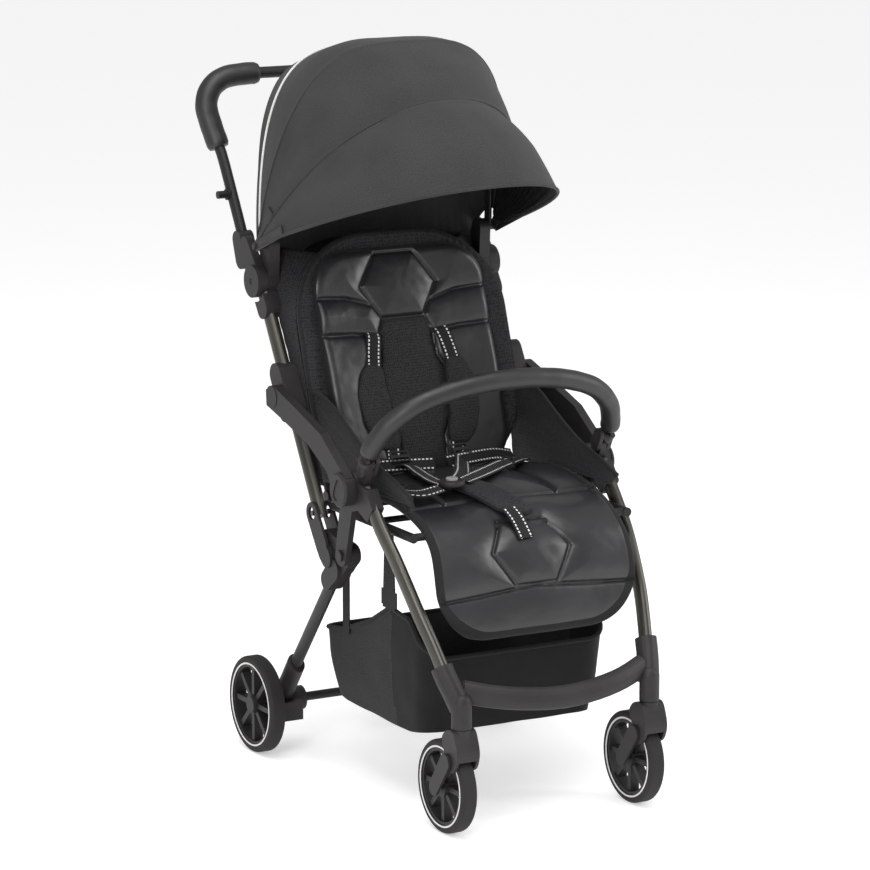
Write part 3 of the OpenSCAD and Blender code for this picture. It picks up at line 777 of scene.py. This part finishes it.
# %% Seat cover
SEAT_HALF, REST_SEAM = 163.0, 66.0
cover_seams = [
    hexagon(128, 64, 36, 33, 104),
    [[-170, REST_SEAM - 4], [-90, REST_SEAM + 1], [0, REST_SEAM + 9], [90, REST_SEAM + 1],
     [170, REST_SEAM - 4]],
    [[-170, 240], [170, 240]], [[-96, 240], [-90, 520]], [[96, 240], [90, 520]]]
cover_relief = seams(cover_seams, depth=4.0, width=2.6, swell=9.0, reach=20.0)


def cover_front(x, s):
    crown = 3.0 * (1 - (x / SEAT_HALF) ** 2)
    at = np.stack([x, s, 0 * x], 1)
    return crown + cover_relief(x, s) - 4.0 + ripple(at, 60, 1.1) + ripple(at, 17, 0.35, 4)


def cover_back(x, s):
    nose = np.exp(-((s - 150) / 50) ** 2)
    return -(15 + 3 * np.clip((s - 190) / 60, 0, 1)) + 3 * nose


cover = sew_pad("seat_cover", (150, 230), SEAT_HALF, 0, cover_length, 78, on_cover, cover_front,
                cover_back, roll=15.0)
wear(cover, leather, binding)
bind_edges(cover, (2 * SEAT_HALF / 1000, cover_length / 1000), 11.0)
spot(0, -258, 440)
spot(0, -300, 396)
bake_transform(cover)
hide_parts("seat_pad", "leg_rest")
print("seat cover faces", len(cover.data.polygons))

# %% [markdown]
# ## Backrest
# Behind everything is a broad shell of knitted mesh with a bound rim. On it lies the leatherette pad,
# with a six-sided head panel, two side panels and a knitted insert down the middle for air.

# %% The backrest's own plane
BACK_HALF, BACK_TOP = 149.0, 362.0


def on_backrest(x, s, d):
    """x across, s up the backrest, d out of it towards the child. Its sides curl forwards."""
    curl = 13 * (np.abs(x) / 180) ** 2.6
    out = d + curl
    return np.stack([x, 25 + 0.3258 * s - 0.9455 * out, 446 + 0.9455 * s + 0.3258 * out], 1)


# %% Knitted shell
shell = sew_pad("backrest_shell", (110, 130), 180, -4, 388, 134, on_backrest,
                lambda x, s: -3 + 5 * (np.hypot(x / 180, (s - 150) / 240)) ** 4
                + 0.9 * np.sin(np.where(s > 300, x, s) * 0.62),
                lambda x, s: -19 + 0 * x, roll=10.0)
wear(shell, side_knit, binding)
bind_edges(shell, (0.36, 0.389), 4.0)
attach(shell, "backrest")

# %% Gussets between the shell and the uprights
SHELL_EDGE = smooth_line([[176, 6], [179, 90], [179, 180], [178, 262], [160, 318],
                          [118, 362]], 60)[0]
for side, name in ((1, "left"), (-1, "right")):
    def gusset_shape(u, v):
        edge = read_line(SHELL_EDGE, v)
        near = on_backrest(side * edge[:, 0], edge[:, 1], np.full(len(u), -12.0))
        far = near.copy()
        far[:, 0] = side * (184.2 - 3 * np.clip((v - 0.8) / 0.2, 0, 1))
        far[:, 1] = np.maximum(near[:, 1] + 10, 1 + (near[:, 2] - 418) * 192 / 326 - 6)
        far[:, 2] += 8 * np.clip((v - 0.7) / 0.3, 0, 1)
        w = u[:, None]
        at = near * (1 - w) + far * w
        at[:, 1] += 5 * np.sin(math.pi * u) + 0.8 * np.sin(v * 90) * u
        return at

    gusset = lay_grid("backrest_gusset_" + name, 14, 90, gusset_shape, (0.05, 0.42))
    wear(close_up(thicken(gusset, 1.2, offset=0.0)), side_knit)
    spot(side * 184, 90, 620)
    spot(side * 178, 90, 620)
    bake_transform(gusset)

# %% Leatherette pad with its insert
INSERT = [[-36, 251], [-47, 225], [-50, 188], [-66, 158], [-63, 104], [-42, 62], [-38, 2],
          [38, 2], [42, 62], [63, 104], [66, 158], [50, 188], [47, 225], [36, 251]]
pad_seams = [hexagon(302, 66, 33, 36, 101), INSERT + INSERT[:1],
             [[-150, 289], [-95, 286], [-50, 273], [-36, 252]],
             [[150, 289], [95, 286], [50, 273], [36, 252]],
             [[-150, 231], [-90, 229], [-47, 224]], [[150, 231], [90, 229], [47, 224]]]
pad_relief = seams(pad_seams, depth=4.6, width=2.4, swell=8.0, reach=16.0)


def pad_front(x, s):
    at = np.stack([x, s, 0 * x], 1)
    inner = inside_of(INSERT, x, s) * 2.5
    return 10 + pad_relief(x, s) - inner + ripple(at, 52, 1.3, 7) + ripple(at, 15, 0.35, 2)


pad = sew_pad("backrest_leather", (150, 190), BACK_HALF, 3, BACK_TOP, 60, on_backrest, pad_front,
              lambda x, s: -8 + 0 * x, roll=14.0)
wear(pad, leather, binding)
pad.data.materials.append(mesh_knit)
bind_edges(pad, (2 * BACK_HALF / 1000, (BACK_TOP - 3) / 1000), 4.0)
centres = np.array([f.center for f in pad.data.polygons]) * 1000 - [0, DRAWING_TO_MIDDLE, 0]
height = (centres[:, 1] - 25) * 0.3258 + (centres[:, 2] - 446) * 0.9455
for face, knitted in zip(pad.data.polygons, inside_of(INSERT, centres[:, 0], height)):
    if knitted and face.normal.y < 0:
        face.material_index = 2
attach(pad, "backrest")
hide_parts("backrest_pad")
print("backrest pad faces", len(pad.data.polygons))

# %% [markdown]
# The sides between the seat and the backrest are walls of the same knitted mesh, bound at the top.

# %% Mesh side walls
WALL_TOP = smooth_line([[0, -250, 484], [0, -200, 500], [0, -130, 520], [0, -60, 552],
                        [0, -20, 572], [0, 30, 588], [0, 84, 590]], 80)[0]
WALL_LOW = smooth_line([[0, -244, 470], [0, -200, 470], [0, -120, 468], [0, -60, 464],
                        [0, -10, 460], [0, 46, 454]], 80)[0]
for side, name in ((1, "left"), (-1, "right")):
    def wall_shape(u, v):
        top, low = read_line(WALL_TOP, u), read_line(WALL_LOW, u)
        at = low * (1 - v[:, None]) + top * v[:, None]
        at[:, 0] = side * (167 + 8 * v ** 0.7 + 0.5 * np.sin(v * 34) * np.exp(-v * 2))
        return at

    wall = lay_grid("seat_wall_" + name, 80, 36, wall_shape, (0.29, 0.13))
    wear(close_up(thicken(wall, 2.4, offset=0.0)), side_knit)
    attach(wall, "frame")
    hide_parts("seat_side_" + name)
    rim = WALL_TOP + [side * 175.2, 0, 0]
    trim = wear(roll_tube("seat_wall_binding_" + name, rim, lambda v: 3.2 + 0 * v, 10, 70), binding)
    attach(trim, "frame")

# %% [markdown]
# ## Harness
# Two shoulder straps come out of slots, pass through knitted pads and end at the buckle between the
# legs, where the two waist straps meet them. Webbing is modelled directly as flat ribbons.

# %% Shoulder pads
for side, name in ((1, "left"), (-1, "right")):
    def on_chest(x, s, d):
        centre = side * np.interp(s, [46, 92, 141, 181], [60, 75, 78, 71])
        narrow = np.interp(s, [46, 70, 130, 181], [0.72, 0.9, 1.0, 0.62])
        return on_backrest(centre + x * narrow, s, 15 + d)

    chest = sew_pad("shoulder_pad_" + name, (36, 70), 28, 44, 184, 18, on_chest,
                    lambda x, s: 7 + 0 * x, lambda x, s: -2.5 + 0 * x, roll=7.0)
    wear(chest, mesh_knit, binding)
    bind_edges(chest, (0.056, 0.14), 1.6)
    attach(chest, "backrest")
    if side == 1:
        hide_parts("harness_shoulder")

# %% Straps
def on_back(x, s, d):
    return on_backrest(np.array([float(x)]), np.array([float(s)]), np.array([float(d)]))[0]


FACE, STRAP_WIDTH = [0, -0.9455, 0.3258], 25
CHEST = {1: [on_back(56, 54, 18), on_back(50, 20, 20), [34, -28, 482], [8, -76, 483],
              [-22, -128, 485], [-56, -172, 486]],
         -1: [on_back(-58, 54, 18), on_back(-60, 18, 22), [-62, -34, 483], [-72, -90, 483],
              [-82, -142, 484], [-84, -180, 485]]}
WAIST = {1: [[146, -20, 470], [110, -60, 480], [60, -104, 486], [4, -146, 487], [-52, -184, 487]],
         -1: [[-150, -84, 472], [-148, -128, 478], [-148, -176, 479], [-132, -202, 480],
              [-100, -202, 484]]}
for side, name in ((1, "left"), (-1, "right")):
    upper = lay_strap("shoulder_strap_" + name,
                      [on_back(side * 58, 232, 7), on_back(side * 60, 222, 16),
                       on_back(side * 66, 196, 18), on_back(side * 70, 172, 19)],
                      [FACE], STRAP_WIDTH)
    lower = lay_strap("chest_strap_" + name, CHEST[side],
                      [FACE, FACE, [0, -0.6, 0.8], [0, -0.3, 1], [0, -0.2, 1], [0, -0.2, 1]], 25)
    waist = lay_strap("waist_strap_" + name, WAIST[side],
                      [[side * -0.3, -0.4, 0.9], [side * -0.15, -0.4, 1], [0, -0.3, 1], [0, -0.3, 1],
                       [0, -0.2, 1]], 25)
    across = lay_strap("hip_strap_" + name, [[side * 148, 14, 468], [side * 110, 4, 477],
                                             [side * 60, -10, 479], [side * 12, -24, 479]],
                       [[0, -0.7, 0.7]], 25)
    for strap, body in ((upper, "backrest"), (lower, "frame"), (waist, "frame"), (across, "frame")):
        wear(strap, strap_marked)
        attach(strap, body)

# %% Crotch pad and buckle
def on_seat(x, s, d):
    """s runs from the seat's front to the back along its top."""
    x = x - 44 * np.clip((s - 20) / 80, 0, 1)
    y = -278 + s
    top = np.interp(y, [-290, -256, -218, -175, -120, -60], [424, 446, 460, 469, 474, 470])
    return np.stack([x, y, top + 5 + d + 5 * np.clip((s - 30) / 60, 0, 1)], 1)


crotch = sew_pad("crotch_pad", (36, 70), 29, 12, 112, 20, on_seat, lambda x, s: 6 + 0 * x,
                 lambda x, s: -3 + 0 * x, roll=8.0)
wear(crotch, side_knit, binding)
bind_edges(crotch, (0.058, 0.1), 1.6)
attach(crotch, "frame")
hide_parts("harness_crotch")
loop = lay_strap("crotch_strap",
                 [[-16, -258, 456], [-13, -274, 445], [-11, -288, 431], [-10, -299, 419]],
                 [[0, -0.6, 0.8], [0, -0.75, 0.65], [0, -0.9, 0.45]], STRAP_WIDTH)
wear(loop, strap_marked)
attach(loop, "frame")


def disc_piece(name, place, radius, height, axis="Z", bevel=1.2, dish=0.0, sides=48):
    """A turned disc with a bevelled rim and, if asked, a dished face, as a moulded cap has."""
    deselect()
    turn = {"Z": (0, 0, 0), "X": (0, math.pi / 2, 0)}[axis]
    bpy.ops.mesh.primitive_cylinder_add(vertices=sides, radius=radius / 1000, depth=height / 1000,
                                        location=spot(*place), rotation=turn)
    piece = bpy.context.object
    piece.name = piece.data.name = name
    bpy.ops.object.transform_apply(location=True, rotation=True, scale=True)
    edge = piece.modifiers.new("edge", "BEVEL")
    edge.width, edge.segments, edge.limit_method = bevel / 1000, 4, "ANGLE"
    bpy.ops.object.modifier_apply(modifier="edge")
    if dish:
        bpy.ops.object.mode_set(mode="EDIT")
        bpy.ops.mesh.select_all(action="DESELECT")
        bpy.ops.object.mode_set(mode="OBJECT")
        way = Vector((0, 0, 1)) if axis == "Z" else Vector((1, 0, 0)) * (1 if place[0] > 0 else -1)
        for face in piece.data.polygons:
            face.select = face.normal.dot(way) > 0.99 and len(face.vertices) > 8
        bpy.ops.object.mode_set(mode="EDIT")
        bpy.ops.mesh.inset(thickness=radius * 0.3 / 1000, depth=-dish / 1000)
        bpy.ops.mesh.inset(thickness=radius * 0.2 / 1000, depth=dish * 0.6 / 1000)
        bpy.ops.object.mode_set(mode="OBJECT")
    bpy.ops.object.shade_smooth_by_angle(angle=math.radians(35))
    return piece


buckle = wear(disc_piece("harness_buckle", (-76, -192, 488), 20, 9, bevel=3.2), plastic)
button = wear(disc_piece("harness_button", (-76, -192, 493.5), 9, 5, bevel=1.4, dish=0.8),
              button_grey)
for part in (buckle, button):
    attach(part, "frame")


def ladder_lock(name, place, tilt, width=31, length=20):
    """A plastic slider: a plate cut into a frame with two slots, then thickened and eased."""
    deselect()
    bpy.ops.mesh.primitive_grid_add(x_subdivisions=1, y_subdivisions=2, size=1, location=(0, 0, 0))
    piece = bpy.context.object
    piece.name = piece.data.name = name
    for v in piece.data.vertices:
        v.co = (v.co.x * width / 1000, v.co.y * length / 1000, 0)
    bpy.ops.object.mode_set(mode="EDIT")
    bpy.ops.mesh.select_all(action="SELECT")
    bpy.ops.mesh.inset(thickness=0.0028, use_individual=True)
    bpy.ops.mesh.delete(type="FACE")
    bpy.ops.object.mode_set(mode="OBJECT")
    wall = piece.modifiers.new("wall", "SOLIDIFY")
    wall.thickness, wall.offset = 0.0034, 0.0
    bpy.ops.object.modifier_apply(modifier="wall")
    ease = piece.modifiers.new("ease", "BEVEL")
    ease.width, ease.segments = 0.0008, 3
    bpy.ops.object.modifier_apply(modifier="ease")
    piece.rotation_euler, piece.location = tilt, spot(*place)
    bpy.ops.object.transform_apply(location=True, rotation=True, scale=True)
    bpy.ops.object.shade_smooth_by_angle(angle=math.radians(40))
    wear(piece, plastic)
    return piece


for side, name in ((1, "left"), (-1, "right")):
    chest_at = (48, 2, 491) if side == 1 else (-61, -4, 491)
    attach(ladder_lock("chest_slider_" + name, chest_at, (0.75, 0, side * 0.1)), "frame")
    waist_at = (86, -80, 485) if side == 1 else (-147, -150, 482)
    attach(ladder_lock("waist_slider_" + name, waist_at, (0.2, 0, side * 0.9)), "frame")
print("harness laid")

# %% [markdown]
# ## Basket
# A bag of knitted mesh hangs from the frame: a floor that sags and walls that lean out to a bound
# rim. It is one shell, laid on a ring of rounded corners, higher at the sides than at the ends.

# %% Basket bag
RIM_Y = [-266, -235, -205, -146, -80, 0, 82]
RIM_Z = [240, 262, 290, 298, 262, 232, 218]


def bag_ring(turn, grow, corner=34.0):
    """The bag's plan outline, from its foot (grow 0) to its rim (grow 1)."""
    half_w, low, high = 146 + 9 * grow, -242 - 22 * grow, 56 + 24 * grow
    half_l, middle = (high - low) / 2, (high + low) / 2
    a = 2 * math.pi * turn
    x, y = np.cos(a), np.sin(a)
    m = np.maximum(np.abs(x), np.abs(y))
    x, y, _ = rounded(x / m, y / m, half_w, half_l, corner)
    return x, y + middle


def bag_shape(u, v):
    floor_share = 0.42
    w = np.clip((v - floor_share) / (1 - floor_share), 0, 1)
    x, y = bag_ring(u, w)
    spread = np.clip(v / floor_share, 0, 1)
    middle_y = -93.0
    x, y = x * spread, middle_y + (y - middle_y) * spread
    sag = 7 * (1 - spread ** 2)
    rim = np.interp(y, RIM_Y, RIM_Z)
    foot = 114 + 10 * np.clip((-y - 190) / 60, 0, 1) + 7 * np.clip((y - 10) / 50, 0, 1)
    z = foot - sag + 14 * np.clip(spread - 0.86, 0, 1) ** 1.5 + (rim - foot) * w
    at = np.stack([x, y, z], 1)
    belly = np.sin(math.pi * w) * 5
    at[:, 0] += np.sign(x) * belly * (np.abs(x) > 120)
    at[:, 2] += ripple(at, 70, 2.0, 3) * (w < 0.95)
    at[:, 0] += ripple(at, 48, 2.2, 8) * w * (1 - w) * 3
    at[:, 1] += ripple(at, 48, 3.0, 5) * w * (1 - w) * 3
    return at


bag = lay_grid("basket_bag", 220, 90, bag_shape, (1.0, 0.36))
wear(bag, bag_knit, bag_cloth)
for face in bag.data.polygons:
    y = face.center.y * 1000 - DRAWING_TO_MIDDLE
    if y < -150 or abs(face.center.x) < 0.11 and y < -100:
        face.material_index = 1
close_up(bag)
thicken(bag, 1.4, offset=-1.0)
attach(bag, "frame")
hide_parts("basket")
turns = np.linspace(0, 1, 180)
rx, ry = bag_ring(turns, 1.0)
rim_line = np.stack([rx, ry, np.interp(ry, RIM_Y, RIM_Z)], 1)
bag_rim = wear(roll_tube("basket_rim", rim_line, lambda v: 3.4 + 0 * v, 8, 220), binding)
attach(bag_rim, "frame")

# %% [markdown]
# ## Grips
# The handle and the bumper bar are foam sleeves wrapped in leatherette. The wrap swells a little in
# rings along its length, and its ends narrow where they are tucked into narrow moulded collars.

# %% Bumper bar
LEAN = math.radians(120)
BUMPER = np.array([[-207, 31], [-202, 52], [-187, 84], [-152, 117], [-100, 138], [-45, 148],
                   [0, 150]])
bar_points = np.stack([BUMPER[:, 0], -160 + BUMPER[:, 1] * math.cos(LEAN),
                       514 + BUMPER[:, 1] * math.sin(LEAN)], 1)
bar_points = np.vstack([bar_points, (bar_points * [-1, 1, 1])[::-1][1:]])
bumper = roll_tube("bumper_wrap", bar_points, lambda v: 14.9 + 0.25 * np.sin(v * 46) ** 2
                   - 1.5 * np.exp(-(np.minimum(v, 1 - v) * 190) ** 2), 32, 200,
                   ref=(0, math.sin(LEAN), -math.cos(LEAN)))
wear(bumper, grip_leather)
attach(bumper, "bumper")
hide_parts("bumper_bar")

# %% Handle grips
GRIP = [[200, 326, 934], [206, 341, 968], [209, 351, 998], [198, 356, 1023], [174, 358, 1038],
        [140, 358, 1042], [118, 358, 1042]]
for side, name in ((1, "left"), (-1, "right")):
    line = np.array(GRIP) * [side, 1, 1]
    grip = roll_tube("handle_wrap_" + name, line, lambda v: 17.3 + 0.25 * np.sin(v * 23) ** 2
                     - 2 * np.exp(-(np.minimum(v, 1 - v) * 60) ** 2), 32, 90, ref=(0, 1, -0.1))
    wear(grip, grip_leather)
    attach(grip, "handle")
    if side == 1:
        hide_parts("handle_grip")
print("grips wrapped")

# %% [markdown]
# ## Wheels
# Each wheel carries a thin white ring between the tyre and the rim, pressed in on both faces.

# %% White rings
def ring_shape(centre, radius, wide, proud):
    def shape(u, v):
        turn, round_ = 2 * math.pi * u, 2 * math.pi * v
        r = radius + wide * np.cos(round_)
        return np.stack([centre[0] + proud * np.sin(round_), centre[1] + r * np.cos(turn),
                         centre[2] + r * np.sin(turn)], 1)
    return shape


WHEELS = (("rear_wheel", 210, 190, 76, 64.6), ("front_wheel", 160, -329, 70, 59.6))
for body, track, y, z, radius in WHEELS:
    for side, name in ((1, "left"), (-1, "right")):
        for face in (1, -1):
            ring = lay_grid(f"{body}_ring_{name}_{'out' if face == 1 else 'in'}", 96, 10,
                            ring_shape((side * (track + face * 12.2), y, z), radius, 1.5, 0.9),
                            (0.4, 0.01))
            wear(close_up(ring), ring_white)
            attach(ring, f"{body}_{name}")
print("rings pressed in")
